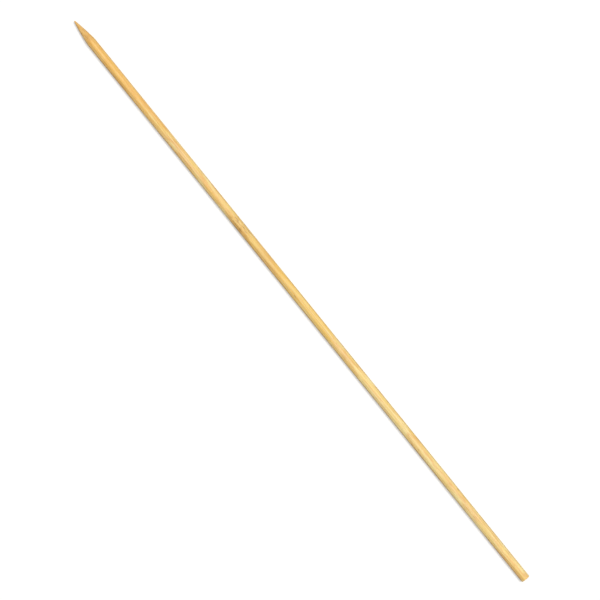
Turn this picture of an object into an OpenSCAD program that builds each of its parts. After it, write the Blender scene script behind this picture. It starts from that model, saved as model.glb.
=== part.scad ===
// Round wooden skewer, turned from a single bamboo splint.
// It is one piece: a die-rounded shank, a ground point at one end and a sawn butt at the other.
// The stick lies along X with its point towards +X, and Z is up.
// The origin is the middle of the sawn butt face. All sizes are in millimetres.

/* [Shank] */
// Length of the whole stick, from the sawn butt to the tip
overall_length = 300; // [100:5:400]
// Diameter of the round shank
shank_d = 4; // [2.5:0.1:6]

/* [Point] */
// Length of the ground point, from its shoulder to the tip
point_length = 11; // [8:0.5:20]
// Diameter that the tip is blunted to
tip_d = 0.6; // [0.3:0.05:1]
// How far the ground flank bulges outside a straight cone, at its middle
flank_bulge = 0.13; // [0.03:0.01:0.3]
// Radius that the shoulder between shank and flank is rubbed to
shoulder_radius = 16; // [4:1:40]

/* [Butt] */
// Radius of the worn edge round the sawn butt
butt_edge_radius = 0.25; // [0.05:0.05:0.6]

/* [Finish] */
// Sides used to draw the round stick
round_sides = 96; // [24:8:160]

/* [Hidden] */

straw = [0.95, 0.78, 0.48];

shank_r = shank_d / 2;
tip_r = tip_d / 2;

// The half outline is drawn as [distance from the butt, distance from the axis].
// The tip is a small round that ends exactly at the overall length.
tip_centre = [overall_length - tip_r, 0];

// The flank is one arc that starts on the shank wall at the corner and runs tangent into the tip's round.
flank_corner = [overall_length - point_length, shank_r];
corner_to_tip = tip_centre - flank_corner;
corner_to_tip_length = norm(corner_to_tip);
corner_to_tip_angle = atan2(corner_to_tip.y, corner_to_tip.x);

// Radius of an arc that stands flank_bulge proud of its chord
flank_radius = pow(corner_to_tip_length, 2) / (8 * flank_bulge) + flank_bulge / 2;

// Law of cosines in the triangle of corner, tip centre and flank centre
flank_turn = acos((pow(corner_to_tip_length, 2) + pow(flank_radius, 2) - pow(flank_radius - tip_r, 2))
    / (2 * corner_to_tip_length * flank_radius));
flank_centre = flank_corner + flank_radius * direction(corner_to_tip_angle - flank_turn);
tip_join_angle = angle_of(tip_centre - flank_centre);

// The shoulder arc is tangent to the shank wall and to the flank, and lies inside both.
shoulder_centre_y = shank_r - shoulder_radius;
shoulder_reach = sqrt(pow(flank_radius - shoulder_radius, 2) - pow(shoulder_centre_y - flank_centre.y, 2));
shoulder_centre = [flank_centre.x + shoulder_reach, shoulder_centre_y];
shoulder_join_angle = angle_of(shoulder_centre - flank_centre);

butt_edge_centre = [butt_edge_radius, shank_r - butt_edge_radius];

// Straight stretches that each arc is drawn with
butt_edge_steps = 5;
shoulder_steps = 5;
flank_steps = 14;
tip_steps = 8;

function direction(angle) = [cos(angle), sin(angle)];

function angle_of(way) = atan2(way.y, way.x);

// Points on an arc from one angle to another, both ends included
function arc(centre, radius, from, to, steps) =
    [for (i = [0:steps]) centre + radius * direction(from + (to - from) * i / steps)];

// Half outline of the stick, from the middle of the butt round to the middle of the tip
function half_outline() = concat(
    [[0, 0]],
    arc(butt_edge_centre, butt_edge_radius, 180, 90, butt_edge_steps),
    arc(shoulder_centre, shoulder_radius, 90, shoulder_join_angle, shoulder_steps),
    [for (i = [1:flank_steps - 1])
        flank_centre + flank_radius * direction(
            shoulder_join_angle + (tip_join_angle - shoulder_join_angle) * i / flank_steps)],
    arc(tip_centre, tip_r, tip_join_angle, 0, tip_steps)
);

// The outline is turned about the stick's axis, and the axis is then laid along X.
module skewer() {
    color(straw)
        rotate([0, 90, 0])
            rotate_extrude($fn = round_sides)
                polygon([for (p = half_outline()) [p.y, p.x]]);
}

skewer();
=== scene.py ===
import math

import bmesh
import bpy
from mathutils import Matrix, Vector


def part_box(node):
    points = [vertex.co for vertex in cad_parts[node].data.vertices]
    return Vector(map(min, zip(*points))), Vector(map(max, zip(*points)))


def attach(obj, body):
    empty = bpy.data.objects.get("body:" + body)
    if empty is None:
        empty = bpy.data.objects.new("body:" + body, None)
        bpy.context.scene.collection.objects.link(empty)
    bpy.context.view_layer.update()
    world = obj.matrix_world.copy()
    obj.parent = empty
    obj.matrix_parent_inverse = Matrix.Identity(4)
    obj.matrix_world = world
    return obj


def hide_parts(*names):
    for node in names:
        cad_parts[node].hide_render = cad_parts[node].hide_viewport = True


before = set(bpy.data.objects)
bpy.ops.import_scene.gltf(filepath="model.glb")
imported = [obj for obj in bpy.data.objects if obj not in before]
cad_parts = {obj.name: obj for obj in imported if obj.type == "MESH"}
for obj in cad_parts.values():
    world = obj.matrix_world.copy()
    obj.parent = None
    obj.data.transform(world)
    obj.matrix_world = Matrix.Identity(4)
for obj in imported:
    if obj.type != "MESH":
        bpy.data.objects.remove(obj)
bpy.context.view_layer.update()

MM = 0.001

# Sizes that come from the frame
stick_low, stick_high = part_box("skewer")
STICK_LENGTH = stick_high[0] - stick_low[0]
SHANK_RADIUS = (stick_high[2] - stick_low[2]) / 2
FLOOR_Z = stick_low[2]

# The ground point
POINT_LENGTH = 11 * MM
SHOULDER_X = STICK_LENGTH - POINT_LENGTH
SHOULDER_BLEND = 0.1 * MM
FLANK_BULGE = 0.13 * MM
TIP_RADIUS = 0.3 * MM
TIP_SLOPE = math.radians(11.6)
FLANK_LENGTH = POINT_LENGTH - TIP_RADIUS * (1 - math.sin(TIP_SLOPE))
FLANK_END_RADIUS = TIP_RADIUS * math.cos(TIP_SLOPE)

# The sawn butt
BUTT_EDGE = 0.22 * MM

# Where the stick runs through a joint of the bamboo culm
CULM_JOINT_X = 189 * MM

# How far the ends of a stretch of another tone wave along the stick, and how long they fade
STRETCH_WAVE = 7 * MM
STRETCH_FADE = 6 * MM

# How finely the stick is divided
SIDES = 180
RINGS_START_X = SHOULDER_X - 1 * MM
FLANK_RINGS = 62
TIP_TURNS = (30, 50, 70)
BUTT_RINGS = 16
BUTT_EDGE_STEPS = 4
SHANK_CUTS = (95, 2)
LONGEST_CUT_FACE = 1.5 * MM

# Distances below which two places count as the same
SAME_PLACE = 0.001 * MM
SAME_VERTEX = 0.0001 * MM


def srgb(red, green, blue):
    """A colour written as it is seen, 0 to 255, as the linear colour that a node takes."""
    def linear(value):
        value = value / 255
        if value <= 0.04045:
            return value / 12.92
        return ((value + 0.055) / 1.055) ** 2.4

    return (linear(red), linear(green), linear(blue), 1.0)


# Straw colours, from the butt to the point
BUTT_STRAW = srgb(255, 224, 148)
SHANK_STRAW = srgb(252, 208, 128)
POINT_STRAW = srgb(247, 183, 70)

# What the straw colour drifts to over a long way, in short mottles and at the culm's joint
PINK_DRIFT = srgb(252, 190, 124)
GOLDEN_DRIFT = srgb(250, 204, 96)
PALE_MOTTLE = srgb(255, 235, 162)
TAN_MOTTLE = srgb(236, 180, 104)
YELLOW_MOTTLE = srgb(248, 216, 118)
CULM_GOLD = srgb(236, 186, 90)
CULM_TAN = srgb(232, 180, 104)

# Fibres, bundles and marks
PALE_FIBRE = srgb(255, 237, 176)
SHADED_FIBRE = srgb(214, 156, 80)
BUNDLE_BROWN = srgb(182, 126, 62)
PORE_BROWN = srgb(112, 72, 38)
SMEAR_BROWN = srgb(140, 92, 44)

# Freshly cut bamboo, on the ground point and on the sawn butt
GROUND_TAN = srgb(222, 170, 100)
GROUND_DUST = srgb(250, 224, 172)
SAWN_TAN = srgb(216, 168, 104)
SAWN_DUST = srgb(246, 218, 164)

# How dull each surface is, and how deep its finest grain
SHANK_ROUGHNESS = 0.42
FIBRE_ROUGHNESS = 0.14
GROUND_ROUGHNESS = 0.16
SIDE_GRAIN_DEPTH = 0.035 * MM
SAWN_ROUGHNESS = 0.8
SAWN_FIBRE_ROUGHNESS = 0.1
END_GRAIN_DEPTH = 0.05 * MM


def deselect_all():
    bpy.ops.object.select_all(action="DESELECT")


def start_editing(piece):
    deselect_all()
    piece.select_set(True)
    bpy.context.view_layer.objects.active = piece
    bpy.ops.object.mode_set(mode="EDIT")
    bpy.ops.mesh.select_mode(type="VERT")


def stop_editing():
    bpy.ops.object.mode_set(mode="OBJECT")


def pick(piece, wanted, domain="verts"):
    """Selects the vertices, edges or faces that wanted() says yes to, and no others."""
    bpy.ops.mesh.select_mode(type={"verts": "VERT", "edges": "EDGE", "faces": "FACE"}[domain])
    bpy.ops.mesh.select_all(action="DESELECT")
    shape = bmesh.from_edit_mesh(piece.data)
    for part in getattr(shape, domain):
        if wanted(part):
            part.select = True
    shape.select_flush_mode()
    bmesh.update_edit_mesh(piece.data)


def outline_radius(x):
    """The bare stick's radius at x: the round shank and the ground flank, with a rubbed shoulder."""
    share = (x - SHOULDER_X) / FLANK_LENGTH
    cone = SHANK_RADIUS + (FLANK_END_RADIUS - SHANK_RADIUS) * share
    flank = cone + 4 * FLANK_BULGE * share * (1 - share)
    rubbed = max(0, SHOULDER_BLEND - abs(flank - SHANK_RADIUS))
    return min(flank, SHANK_RADIUS) - rubbed ** 2 / (4 * SHOULDER_BLEND)


def ring_stations():
    """Where the rings of the point lie, as pairs of x and radius, from the shank to the tip's round."""
    step = (SHOULDER_X + FLANK_LENGTH - RINGS_START_X) / FLANK_RINGS
    stations = [(RINGS_START_X, SHANK_RADIUS)]
    for ring in range(1, FLANK_RINGS + 1):
        x = RINGS_START_X + step * ring
        stations.append((x, outline_radius(x)))
    for degrees in TIP_TURNS:
        turn = math.radians(degrees)
        stations.append((STICK_LENGTH - TIP_RADIUS * (1 - math.sin(turn)), TIP_RADIUS * math.cos(turn)))
    return stations


def extrude_ring(step, scale, centre_x):
    """Carries the selected ring forward by step and resizes it about the stick's axis."""
    bpy.ops.mesh.extrude_region_move(TRANSFORM_OT_translate={"value": (step, 0, 0)})
    bpy.ops.transform.resize(value=(1, scale, scale), center_override=(centre_x, 0, 0))


def turn_stick():
    """The bare stick: a ring drawn out into the shank, narrowed along the flank and closed at the tip."""
    bpy.ops.mesh.primitive_circle_add(
        vertices=SIDES,
        radius=SHANK_RADIUS,
        fill_type="NOTHING",
        calc_uvs=False,
        rotation=(0, math.pi / 2, 0),
    )
    stick = bpy.context.object
    stick.name = "bamboo_stick"
    bpy.ops.object.transform_apply(location=False, rotation=True, scale=False)
    start_editing(stick)
    bpy.ops.mesh.select_all(action="SELECT")
    last_x, last_radius = 0, SHANK_RADIUS
    for x, radius in ring_stations():
        extrude_ring(x - last_x, radius / last_radius, x)
        last_x, last_radius = x, radius
    bpy.ops.mesh.extrude_region_move(TRANSFORM_OT_translate={"value": (STICK_LENGTH - last_x, 0, 0)})
    bpy.ops.mesh.merge(type="CENTER")
    return stick


def is_butt_rim(edge):
    """Whether an edge belongs to the outer rim of the butt."""
    return all(
        abs(v.co.x) < SAME_PLACE and math.hypot(v.co.y, v.co.z) > SHANK_RADIUS - SAME_PLACE
        for v in edge.verts
    )


def close_butt(stick):
    """The sawn end is a face that is inset ring by ring and closed with a fan, and its rim is rounded."""
    pick(stick, lambda v: abs(v.co.x) < SAME_PLACE)
    bpy.ops.mesh.edge_face_add()
    bpy.ops.mesh.select_mode(type="FACE")
    step = (SHANK_RADIUS - BUTT_EDGE) / (BUTT_RINGS + 1)
    bpy.ops.mesh.inset(thickness=BUTT_EDGE + step)
    for ring in range(1, BUTT_RINGS):
        bpy.ops.mesh.inset(thickness=step)
    bpy.ops.mesh.poke()
    pick(stick, is_butt_rim, "edges")
    bpy.ops.mesh.bevel(offset=BUTT_EDGE, segments=BUTT_EDGE_STEPS, affect="EDGES")


def divide_shank(stick):
    """Cuts the long shank faces into short ones, so that the fibre relief has something to move."""
    for cuts in SHANK_CUTS:
        pick(stick, lambda e: abs(e.verts[0].co.x - e.verts[1].co.x) > LONGEST_CUT_FACE, "edges")
        bpy.ops.mesh.subdivide(number_cuts=cuts)


def join_up(stick):
    """Merges what lies in one place and turns every face outwards."""
    bpy.ops.mesh.select_all(action="SELECT")
    bpy.ops.mesh.remove_doubles(threshold=SAME_VERTEX)
    bpy.ops.mesh.normals_make_consistent(inside=False)
    stop_editing()
    bpy.ops.object.shade_smooth()


def ramp(value, low, high):
    """Goes from 0 to 1 as value goes from low to high."""
    return min(1, max(0, (value - low) / (high - low)))


def on_shank(x):
    return ramp(x, 0, 1 * MM) * (1 - ramp(x, SHOULDER_X, SHOULDER_X + 2 * MM))


def on_point(x):
    return ramp(x, SHOULDER_X - 1 * MM, SHOULDER_X + 1 * MM)


def on_butt(x):
    return 1 - ramp(x, 0, 0.5 * MM)


def on_joint(x):
    return 1 - ramp(abs(x - CULM_JOINT_X), 2 * MM, 8 * MM)


def mark_zone(stick, name, weight_of):
    """A vertex group whose weight follows a place along the stick."""
    zone = stick.vertex_groups.new(name=name)
    for vertex in stick.data.vertices:
        weight = weight_of(vertex.co.x)
        if weight > 0:
            zone.add([vertex.index], weight, "REPLACE")


# How softly a patch of a cut cloud pattern sets in
PATCH_EDGE = 0.14

# How far apart the places are at which the reliefs read the cloud pattern
PATTERN_STEP_ALONG = 31 * MM
PATTERN_STEP_ACROSS = 0.7 * MM
PATTERN_HEIGHT = 0.3 * MM


def cloud_field(name, depth, cut_below=None):
    """A soft cloud pattern, which cut_below turns into separate patches."""
    field = bpy.data.textures.new(name, type="CLOUDS")
    field.noise_basis = "ORIGINAL_PERLIN"
    field.noise_scale = 1
    field.noise_depth = depth
    if cut_below is not None:
        field.use_color_ramp = True
        low, high = field.color_ramp.elements
        low.position = cut_below
        low.color = (0, 0, 0, 1)
        high.position = min(cut_below + PATCH_EDGE, 1)
        high.color = (1, 1, 1, 1)
    return field


def raise_relief(stick, name, place, along, across, height, depth=1, cut_below=None, zone=""):
    """Moves the surface in or out by a pattern that is drawn out along the grain.

    place picks the stretch of the pattern that this relief reads.
    """
    pattern_start = (PATTERN_STEP_ALONG * place, PATTERN_STEP_ACROSS * place, PATTERN_HEIGHT)
    bpy.ops.object.empty_add(location=pattern_start)
    stretch = bpy.context.object
    stretch.scale = (along, across, across)
    bpy.context.view_layer.update()
    deselect_all()
    stick.select_set(True)
    bpy.context.view_layer.objects.active = stick
    relief = stick.modifiers.new(name, type="DISPLACE")
    relief.texture = cloud_field(name, depth, cut_below)
    relief.texture_coords = "OBJECT"
    relief.texture_coords_object = stretch
    relief.direction = "NORMAL"
    relief.mid_level = 0.5 if cut_below is None else 0
    relief.strength = height
    relief.vertex_group = zone
    bpy.ops.object.modifier_apply(modifier=name)
    bpy.data.objects.remove(stretch)


def shape_surface(stick):
    """No perfect rod: the die leaves faint flats, fibres stand proud and vessels are torn open."""
    mark_zone(stick, "shank", on_shank)
    mark_zone(stick, "point", on_point)
    mark_zone(stick, "butt", on_butt)
    mark_zone(stick, "joint", on_joint)
    raise_relief(stick, "die_flats", 9, 90 * MM, 2.2 * MM, 0.05 * MM)
    raise_relief(stick, "fibre_ridges", 12, 26 * MM, 0.3 * MM, 0.035 * MM, depth=2, zone="shank")
    raise_relief(stick, "torn_vessels", 12, 11 * MM, 0.26 * MM, -0.06 * MM, cut_below=0.62, zone="shank")
    raise_relief(stick, "joint_ripple", 12, 3.5 * MM, 0.5 * MM, 0.05 * MM, zone="joint")
    raise_relief(stick, "grinding_flats", 14, 14 * MM, 1.1 * MM, 0.09 * MM, zone="point")
    raise_relief(stick, "ground_fibres", 13, 3 * MM, 0.22 * MM, 0.03 * MM, depth=2, zone="point")
    raise_relief(stick, "grinding_rings", 14, 0.3 * MM, 2.5 * MM, 0.02 * MM, zone="point")
    raise_relief(stick, "worn_butt", 9, 0.6 * MM, 0.45 * MM, 0.035 * MM, depth=2, zone="butt")


BAKE_STRIPS = 5
BAKE_MARGIN = 0.3 * MM
FULL_TURN = 2 * math.pi


def is_sawn(face):
    """Whether a face belongs to the flat of the sawn butt."""
    return face.normal.x < -0.7 and face.center.x < 0.5 * MM


def lay_out_map(stick):
    """A map for baking that cuts the long stick into strips side by side, with the sawn end beside them."""
    layer = stick.data.uv_layers.new(name="OFBake")
    around = FULL_TURN * SHANK_RADIUS
    strip_length = STICK_LENGTH / BAKE_STRIPS
    pitch = around + 2 * BAKE_MARGIN
    end_column = 2 * (SHANK_RADIUS + BAKE_MARGIN)
    whole = max(strip_length + 2 * BAKE_MARGIN + end_column, BAKE_STRIPS * pitch)
    for face in stick.data.polygons:
        strip = min(int(face.center.x / strip_length), BAKE_STRIPS - 1)
        middle_turn = math.atan2(face.center.y, face.center.z)
        for corner in face.loop_indices:
            place = stick.data.vertices[stick.data.loops[corner].vertex_index].co
            if is_sawn(face):
                u = whole - end_column / 2 + place.y
                v = end_column / 2 + place.z
            else:
                turn = math.atan2(place.y, place.z)
                turn += FULL_TURN * round((middle_turn - turn) / FULL_TURN)
                if math.hypot(place.y, place.z) < SAME_VERTEX:
                    turn = middle_turn
                u = BAKE_MARGIN + place.x - strip * strip_length
                v = strip * pitch + BAKE_MARGIN + (turn / FULL_TURN + 0.5) * around
            layer.data[corner].uv = (u / whole, v / whole)


def add_node(tree, kind, inputs=None, **settings):
    """A node with its settings, whose inputs are given as values or as the sockets that feed them."""
    node = tree.nodes.new(kind)
    for name, value in settings.items():
        setattr(node, name, value)
    for name, value in (inputs or {}).items():
        if isinstance(value, bpy.types.NodeSocket):
            tree.links.new(value, node.inputs[name])
        else:
            node.inputs[name].default_value = value
    return node


def calculate(tree, operation, first, second=0.0, third=0.0):
    node = add_node(tree, "ShaderNodeMath", {0: first, 1: second, 2: third}, operation=operation)
    return node.outputs["Value"]


def vector_calculate(tree, operation, first, second):
    node = add_node(tree, "ShaderNodeVectorMath", {0: first, 1: second}, operation=operation)
    return node.outputs["Vector"]


def split_vector(tree, vector):
    return add_node(tree, "ShaderNodeSeparateXYZ", {"Vector": vector}).outputs


def build_vector(tree, x, y, z):
    return add_node(tree, "ShaderNodeCombineXYZ", {"X": x, "Y": y, "Z": z}).outputs["Vector"]


def fade(tree, value, low, high, to_low=0.0, to_high=1.0):
    """Goes smoothly from to_low to to_high as value goes from low to high."""
    inputs = {"Value": value, "From Min": low, "From Max": high, "To Min": to_low, "To Max": to_high}
    node = add_node(tree, "ShaderNodeMapRange", inputs, interpolation_type="SMOOTHSTEP")
    return node.outputs["Result"]


def blend_value(tree, factor, first, second):
    return add_node(tree, "ShaderNodeMix", {0: factor, 2: first, 3: second}).outputs[0]


def blend_colour(tree, factor, first, second):
    node = add_node(tree, "ShaderNodeMix", {0: factor, 6: first, 7: second}, data_type="RGBA")
    return node.outputs[2]


def stretched_noise(tree, place, per_metre, detail=2.0):
    """Noise whose pattern repeats this many times a metre along each axis."""
    scaled = vector_calculate(tree, "MULTIPLY", place, per_metre)
    return add_node(tree, "ShaderNodeTexNoise", {"Vector": scaled, "Scale": 1.0, "Detail": detail})


FLOAT = "NodeSocketFloat"
VECTOR = "NodeSocketVector"
COLOUR = "NodeSocketColor"


def new_group(name, inputs, outputs):
    """A node group with named sockets. Returns the tree, what it is given and what it gives."""
    tree = bpy.data.node_groups.new(name, "ShaderNodeTree")
    for label, kind, value in inputs:
        socket = tree.interface.new_socket(name=label, in_out="INPUT", socket_type=kind)
        if value is not None:
            socket.default_value = value
    for label, kind in outputs:
        tree.interface.new_socket(name=label, in_out="OUTPUT", socket_type=kind)
    return tree, tree.nodes.new("NodeGroupInput").outputs, tree.nodes.new("NodeGroupOutput").inputs


def use_group(tree, group, inputs):
    """Places a node group in a tree and returns its outputs."""
    return add_node(tree, "ShaderNodeGroup", inputs, node_tree=group).outputs


def make_fibre_path():
    """Fibres wander a little along the stick, and swirl where the culm had its joint."""
    tree, given, result = new_group(
        "fibre path", [("Place", VECTOR, None)], [("Place", VECTOR), ("Joint", FLOAT)]
    )
    place = given["Place"]
    x = split_vector(tree, place)["X"]
    away = calculate(tree, "ABSOLUTE", calculate(tree, "SUBTRACT", x, CULM_JOINT_X))
    joint = fade(tree, away, 11 * MM, 2 * MM)
    # Waves a metre, then how far a fibre strays everywhere and at the joint
    wanderings = (
        ((14.0, 60.0, 60.0), 0.5 * MM, 0.5 * MM),
        ((110.0, 300.0, 300.0), 0.06 * MM, 0.06 * MM),
        ((260.0, 500.0, 500.0), 0.0, 0.5 * MM),
    )
    for per_metre, everywhere, at_joint in wanderings:
        drift = stretched_noise(tree, given["Place"], per_metre).outputs["Color"]
        drift = vector_calculate(tree, "SUBTRACT", drift, (0.5, 0.5, 0.5))
        reach = calculate(tree, "MULTIPLY_ADD", joint, at_joint - everywhere, everywhere)
        drift = vector_calculate(tree, "MULTIPLY", drift, build_vector(tree, 0.0, reach, reach))
        place = vector_calculate(tree, "ADD", place, drift)
    tree.links.new(place, result["Place"])
    tree.links.new(joint, result["Joint"])
    return tree


def make_fibre_streaks():
    """Noise drawn out along the grain. Length and width are in millimetres."""
    tree, given, result = new_group(
        "fibre streaks",
        [
            ("Place", VECTOR, None),
            ("Length", FLOAT, 20.0),
            ("Width", FLOAT, 0.3),
            ("Contrast", FLOAT, 1.0),
        ],
        [("Value", FLOAT)],
    )
    along = calculate(tree, "DIVIDE", 1000.0, given["Length"])
    across = calculate(tree, "DIVIDE", 1000.0, given["Width"])
    place = vector_calculate(tree, "MULTIPLY", given["Place"], build_vector(tree, along, across, across))
    noise = add_node(tree, "ShaderNodeTexNoise", {"Vector": place, "Scale": 1.0, "Detail": 2.0})
    reach = calculate(tree, "DIVIDE", 0.25, given["Contrast"])
    low = calculate(tree, "SUBTRACT", 0.5, reach)
    high = calculate(tree, "ADD", 0.5, reach)
    tree.links.new(fade(tree, noise.outputs["Fac"], low, high), result["Value"])
    return tree


def make_fibre_bundles():
    """Bundles that run the length of the stick: dots with a pore on a cross cut, streaks along a side."""
    tree, given, result = new_group(
        "fibre bundles",
        [("Place", VECTOR, None), ("Spacing", FLOAT, 0.8), ("Size", FLOAT, 0.3)],
        [("Sheath", FLOAT), ("Pore", FLOAT)],
    )
    parts = split_vector(tree, given["Place"])
    cells = add_node(
        tree,
        "ShaderNodeTexVoronoi",
        {
            "Vector": build_vector(tree, parts["Y"], parts["Z"], 0.0),
            "Scale": calculate(tree, "DIVIDE", 1000.0, given["Spacing"]),
            "Randomness": 0.85,
        },
        voronoi_dimensions="2D",
    )
    distance = cells.outputs["Distance"]
    rim = calculate(tree, "MULTIPLY", given["Size"], 1.35)
    rim_core = calculate(tree, "MULTIPLY", rim, 0.7)
    pore_rim = calculate(tree, "MULTIPLY", rim, 0.34)
    pore_core = calculate(tree, "MULTIPLY", rim, 0.16)
    tree.links.new(fade(tree, distance, rim, rim_core), result["Sheath"])
    tree.links.new(fade(tree, distance, pore_rim, pore_core), result["Pore"])
    return tree


def make_straw_tone(streaks):
    """The straw colour from the butt to the point, with drifts, mottles and the culm joint's gold."""
    tree, given, result = new_group(
        "straw tone", [("Place", VECTOR, None), ("Joint", FLOAT, 0.0)], [("Colour", COLOUR)]
    )
    x = split_vector(tree, given["Place"])["X"]
    # How far along the stick, from 0 at the butt to 1 at the tip
    share = calculate(tree, "DIVIDE", x, STICK_LENGTH)
    colour = blend_colour(tree, fade(tree, share, 0.1, 0.6), BUTT_STRAW, SHANK_STRAW)
    colour = blend_colour(tree, fade(tree, share, 0.09, 0.02, 0.0, 0.8), colour, SHANK_STRAW)

    # Length and width in millimetres, tint, strength, and where the pattern is read
    drifts = (
        (34.0, 1.6, PINK_DRIFT, 0.45, (0.11, 0.013, 0.007)),
        (46.0, 2.1, GOLDEN_DRIFT, 0.5, (0.22, 0.013, 0.007)),
        (9.0, 1.4, PALE_MOTTLE, 0.85, (0.33, 0.013, 0.007)),
        (6.0, 1.2, TAN_MOTTLE, 0.65, (0.44, 0.013, 0.007)),
        (12.0, 1.6, YELLOW_MOTTLE, 0.6, (0.55, 0.013, 0.007)),
    )
    for length, width, tint, strength, shift in drifts:
        moved = vector_calculate(tree, "ADD", given["Place"], shift)
        drift = use_group(tree, streaks, {"Place": moved, "Length": length, "Width": width})["Value"]
        colour = blend_colour(tree, fade(tree, drift, 0.45, 0.95, 0.0, strength), colour, tint)
    colour = blend_colour(tree, fade(tree, share, 0.74, 0.9, 0.0, 0.65), colour, POINT_STRAW)

    # Stretches on the butt's side of the culm's joint: start, end, tint and strength
    stretches = (
        (CULM_JOINT_X - 59 * MM, CULM_JOINT_X, GOLDEN_DRIFT, 0.65),
        (CULM_JOINT_X - 21 * MM, CULM_JOINT_X - 4 * MM, CULM_TAN, 0.5),
    )
    patchy = use_group(tree, streaks, {"Place": given["Place"], "Length": 7.0, "Width": 1.2})["Value"]
    wavy_x = calculate(tree, "MULTIPLY_ADD", patchy, STRETCH_WAVE, x)
    for start, end, tint, strength in stretches:
        begun = fade(tree, wavy_x, start, start + STRETCH_FADE, 0.0, strength)
        not_ended = fade(tree, wavy_x, end, end - STRETCH_FADE)
        colour = blend_colour(tree, calculate(tree, "MULTIPLY", begun, not_ended), colour, tint)

    at_joint = calculate(tree, "MULTIPLY", given["Joint"], fade(tree, patchy, 0.1, 0.7, 0.25, 0.75))
    tree.links.new(blend_colour(tree, at_joint, colour, CULM_GOLD), result["Colour"])
    return tree


def make_bamboo_grain():
    """Bare bamboo, however it is cut: straw tone, fine fibre, brown bundles and their pores."""
    path = make_fibre_path()
    streaks = make_fibre_streaks()
    bundles = make_fibre_bundles()
    tone = make_straw_tone(streaks)
    tree, given, result = new_group(
        "bamboo grain",
        [
            ("Place", VECTOR, None),
            ("Fibre", FLOAT, 0.5),
            ("Bundle", FLOAT, 0.5),
            ("Pore", FLOAT, 0.5),
            ("Breaks", FLOAT, 1.0),
        ],
        [("Colour", COLOUR), ("Height", FLOAT), ("Fine", FLOAT)],
    )
    followed = use_group(tree, path, {"Place": given["Place"]})
    place = followed["Place"]
    joint = followed["Joint"]
    colour = use_group(tree, tone, {"Place": place, "Joint": joint})["Colour"]

    def streaks_of(length, width, contrast):
        sizes = {"Place": place, "Length": length, "Width": width, "Contrast": contrast}
        return use_group(tree, streaks, sizes)["Value"]

    # Pale and shaded fibres
    fine = streaks_of(9.0, 0.1, 1.2)
    broad = streaks_of(28.0, 0.5, 1.2)
    fibres = calculate(tree, "MULTIPLY_ADD", fine, 0.5, calculate(tree, "MULTIPLY", broad, 0.5))
    pale = calculate(tree, "MULTIPLY", fade(tree, fibres, 0.45, 0.95), given["Fibre"])
    shaded = calculate(tree, "MULTIPLY", fade(tree, fibres, 0.5, 0.05), given["Fibre"])
    colour = blend_colour(tree, pale, colour, PALE_FIBRE)
    colour = blend_colour(tree, shaded, colour, SHADED_FIBRE)

    # Bundles are small and dense towards the culm's skin, and large and sparse away from it
    sparse = use_group(tree, bundles, {"Place": place, "Spacing": 0.75, "Size": 0.22})
    dense = use_group(tree, bundles, {"Place": place, "Spacing": 0.4, "Size": 0.29})
    parts = split_vector(tree, given["Place"])
    skin_side = fade(tree, calculate(tree, "SUBTRACT", parts["Y"], parts["Z"]), 0.3 * MM, 0.7 * MM)
    breaks = fade(tree, streaks_of(16.0, 0.45, 1.4), 0.6, 0.15)
    kept = calculate(tree, "SUBTRACT", 1.0, calculate(tree, "MULTIPLY", given["Breaks"], breaks))
    sheath = blend_value(tree, skin_side, sparse["Sheath"], dense["Sheath"])
    sheath = calculate(tree, "MULTIPLY", sheath, kept)
    pore = blend_value(tree, skin_side, sparse["Pore"], dense["Pore"])
    pore = calculate(tree, "MULTIPLY", pore, kept)
    colour = blend_colour(tree, calculate(tree, "MULTIPLY", sheath, given["Bundle"]), colour, BUNDLE_BROWN)
    colour = blend_colour(tree, calculate(tree, "MULTIPLY", pore, given["Pore"]), colour, PORE_BROWN)

    # Short brown smears at the culm's joint
    smears = fade(tree, streaks_of(2.6, 0.24, 1.5), 0.76, 0.94, 0.0, 0.75)
    colour = blend_colour(tree, calculate(tree, "MULTIPLY", smears, joint), colour, SMEAR_BROWN)

    height = calculate(tree, "MULTIPLY_ADD", sheath, -0.3, calculate(tree, "MULTIPLY", fine, 0.6))
    height = calculate(tree, "MULTIPLY_ADD", pore, -0.5, height)
    tree.links.new(colour, result["Colour"])
    tree.links.new(height, result["Height"])
    tree.links.new(fine, result["Fine"])
    return tree


def new_material(name):
    """An empty material, with its tree and the place on the stick that its patterns follow."""
    material = bpy.data.materials.new(name)
    material.use_nodes = True
    tree = material.node_tree
    return material, tree, tree.nodes.new("ShaderNodeTexCoord").outputs["Object"]


def finish_material(tree, colour, height, rough, grain_depth):
    shader = tree.nodes["Principled BSDF"]
    bump = add_node(tree, "ShaderNodeBump", {"Height": height, "Distance": grain_depth, "Strength": 1.0})
    tree.links.new(colour, shader.inputs["Base Color"])
    tree.links.new(rough, shader.inputs["Roughness"])
    tree.links.new(bump.outputs["Normal"], shader.inputs["Normal"])


def add_flecks(tree, place, colour):
    """A few short brown flecks, each in a cell of its own that is drawn out along the stick."""
    cells = add_node(
        tree,
        "ShaderNodeTexVoronoi",
        {"Vector": vector_calculate(tree, "MULTIPLY", place, (170.0, 900.0, 900.0)), "Scale": 1.0},
    )
    draw = split_vector(tree, cells.outputs["Color"])["X"]
    spot = fade(tree, cells.outputs["Distance"], 0.2, 0.08, 0.0, 0.7)
    fleck = calculate(tree, "MULTIPLY", spot, calculate(tree, "GREATER_THAN", draw, 0.86))
    return blend_colour(tree, fleck, colour, SMEAR_BROWN)


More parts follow.
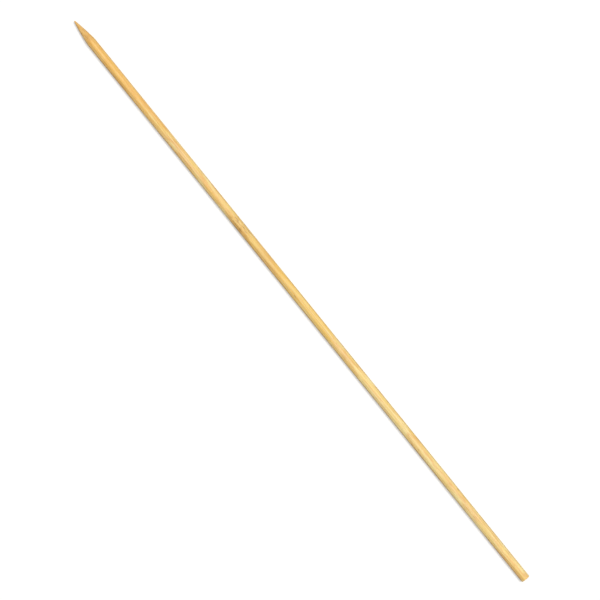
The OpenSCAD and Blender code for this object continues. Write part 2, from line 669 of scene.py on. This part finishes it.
def make_bamboo_side(grain):
    """The die-rounded shank, tumbled to a low sheen, and the duller ground point past a wavy shoulder."""
    material, tree, place = new_material("bamboo_side")
    wood = use_group(tree, grain, {"Place": place, "Fibre": 0.62, "Bundle": 0.5, "Pore": 0.5, "Breaks": 0.8})
    waver = stretched_noise(tree, place, (60.0, 900.0, 900.0)).outputs["Fac"]
    edge = calculate(tree, "MULTIPLY_ADD", waver, 3.0 * MM, split_vector(tree, place)["X"])
    ground = fade(tree, edge, SHOULDER_X + 1.1 * MM, SHOULDER_X + 1.7 * MM)
    rings = stretched_noise(tree, place, (11000.0, 260.0, 260.0), 3.0).outputs["Fac"]

    colour = blend_colour(tree, calculate(tree, "MULTIPLY", ground, 0.35), wood["Colour"], GROUND_TAN)
    dust = calculate(tree, "MULTIPLY", fade(tree, rings, 0.4, 0.8, 0.0, 0.3), ground)
    colour = blend_colour(tree, dust, colour, GROUND_DUST)
    colour = add_flecks(tree, place, colour)
    height = calculate(tree, "MULTIPLY_ADD", calculate(tree, "MULTIPLY", rings, ground), 0.7, wood["Height"])
    rough = calculate(tree, "MULTIPLY_ADD", wood["Fine"], FIBRE_ROUGHNESS, SHANK_ROUGHNESS)
    rough = calculate(tree, "MULTIPLY_ADD", ground, GROUND_ROUGHNESS, rough)
    finish_material(tree, colour, height, rough, SIDE_GRAIN_DEPTH)
    return material


def make_bamboo_end(grain):
    """The sawn butt: end grain with its bundles cut across, and the saw's straight scores over it."""
    material, tree, place = new_material("bamboo_end")
    wood = use_group(tree, grain, {"Place": place, "Fibre": 0.3, "Bundle": 0.9, "Pore": 0.9, "Breaks": 0.1})
    scores = stretched_noise(tree, place, (500.0, 600.0, 11000.0), 3.0).outputs["Fac"]
    colour = blend_colour(tree, 0.25, wood["Colour"], SAWN_TAN)
    colour = blend_colour(tree, fade(tree, scores, 0.4, 0.75, 0.0, 0.4), colour, SAWN_DUST)
    height = calculate(tree, "MULTIPLY_ADD", scores, 0.7, wood["Height"])
    rough = calculate(tree, "MULTIPLY_ADD", wood["Fine"], SAWN_FIBRE_ROUGHNESS, SAWN_ROUGHNESS)
    finish_material(tree, colour, height, rough, END_GRAIN_DEPTH)
    return material


def finish_stick(stick):
    """Gives the sides and the sawn butt their own bamboo."""
    grain = make_bamboo_grain()
    stick.data.materials.append(make_bamboo_side(grain))
    stick.data.materials.append(make_bamboo_end(grain))
    for face in stick.data.polygons:
        face.material_index = 1 if is_sawn(face) else 0


FLOOR_SIZE = 6
FLOOR_GAP = 0.02 * MM
FLOOR_GREY = 0.62
FLOOR_GLOW = 0.42


def make_floor():
    """A pale floor: the camera sees it as white, and the stick's shadow still falls on it."""
    place = (STICK_LENGTH / 2, 0, FLOOR_Z - FLOOR_GAP)
    bpy.ops.mesh.primitive_plane_add(size=FLOOR_SIZE, location=place)
    floor = bpy.context.object
    floor.name = "floor"
    material = bpy.data.materials.new("pale_floor")
    material.use_nodes = True
    tree = material.node_tree
    shader = tree.nodes["Principled BSDF"]
    shader.inputs["Base Color"].default_value = (FLOOR_GREY, FLOOR_GREY, FLOOR_GREY, 1)
    shader.inputs["Roughness"].default_value = 1.0
    shader.inputs["Specular IOR Level"].default_value = 0.0
    seen = tree.nodes.new("ShaderNodeLightPath").outputs["Is Camera Ray"]
    glow = add_node(tree, "ShaderNodeEmission", {"Strength": calculate(tree, "MULTIPLY", seen, FLOOR_GLOW)})
    both = add_node(tree, "ShaderNodeAddShader", {0: shader.outputs["BSDF"], 1: glow.outputs["Emission"]})
    tree.links.new(both.outputs["Shader"], tree.nodes["Material Output"].inputs["Surface"])
    floor.data.materials.append(material)


KEY_TILT = math.radians(15)
KEY_TURN = math.radians(-12)
KEY_STRENGTH = 2.35
KEY_SPREAD = math.radians(20)
SURROUND_STRENGTH = 0.28


def make_lights():
    """One soft key almost overhead, and an even pale surround that the camera sees as white."""
    bpy.ops.object.light_add(type="SUN", rotation=(KEY_TILT, 0, KEY_TURN))
    key = bpy.context.object
    key.data.energy = KEY_STRENGTH
    key.data.angle = KEY_SPREAD
    world = bpy.context.scene.world or bpy.data.worlds.new("surround")
    bpy.context.scene.world = world
    world.use_nodes = True
    tree = world.node_tree
    seen = tree.nodes.new("ShaderNodeLightPath").outputs["Is Camera Ray"]
    strength = calculate(tree, "MULTIPLY_ADD", seen, 1 - SURROUND_STRENGTH, SURROUND_STRENGTH)
    surround = tree.nodes["Background"]
    surround.inputs["Color"].default_value = (1, 1, 1, 1)
    tree.links.new(strength, surround.inputs["Strength"])


PICTURE_TURN = math.radians(231.04)
LENS = 135
SENSOR = 36
NEAREST_SEEN = 10 * MM
FILLED_SHARE = 0.93


def make_camera():
    """Straight above the stick, turned so that the point lies at the upper left as in the photograph."""
    half_height = STICK_LENGTH / 2 * abs(math.sin(PICTURE_TURN)) / FILLED_SHARE
    distance = half_height / (SENSOR / 2 / LENS)
    bpy.ops.object.camera_add(location=(STICK_LENGTH / 2, 0, distance), rotation=(0, 0, PICTURE_TURN))
    camera = bpy.context.object
    camera.data.lens = LENS
    camera.data.sensor_width = SENSOR
    camera.data.clip_start = NEAREST_SEEN
    bpy.context.scene.camera = camera


stick = turn_stick()
close_butt(stick)
divide_shank(stick)
join_up(stick)
shape_surface(stick)
lay_out_map(stick)
finish_stick(stick)

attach(stick, "root")
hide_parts("skewer")

make_floor()
make_lights()
make_camera()
bpy.context.scene.view_settings.view_transform = "Standard"
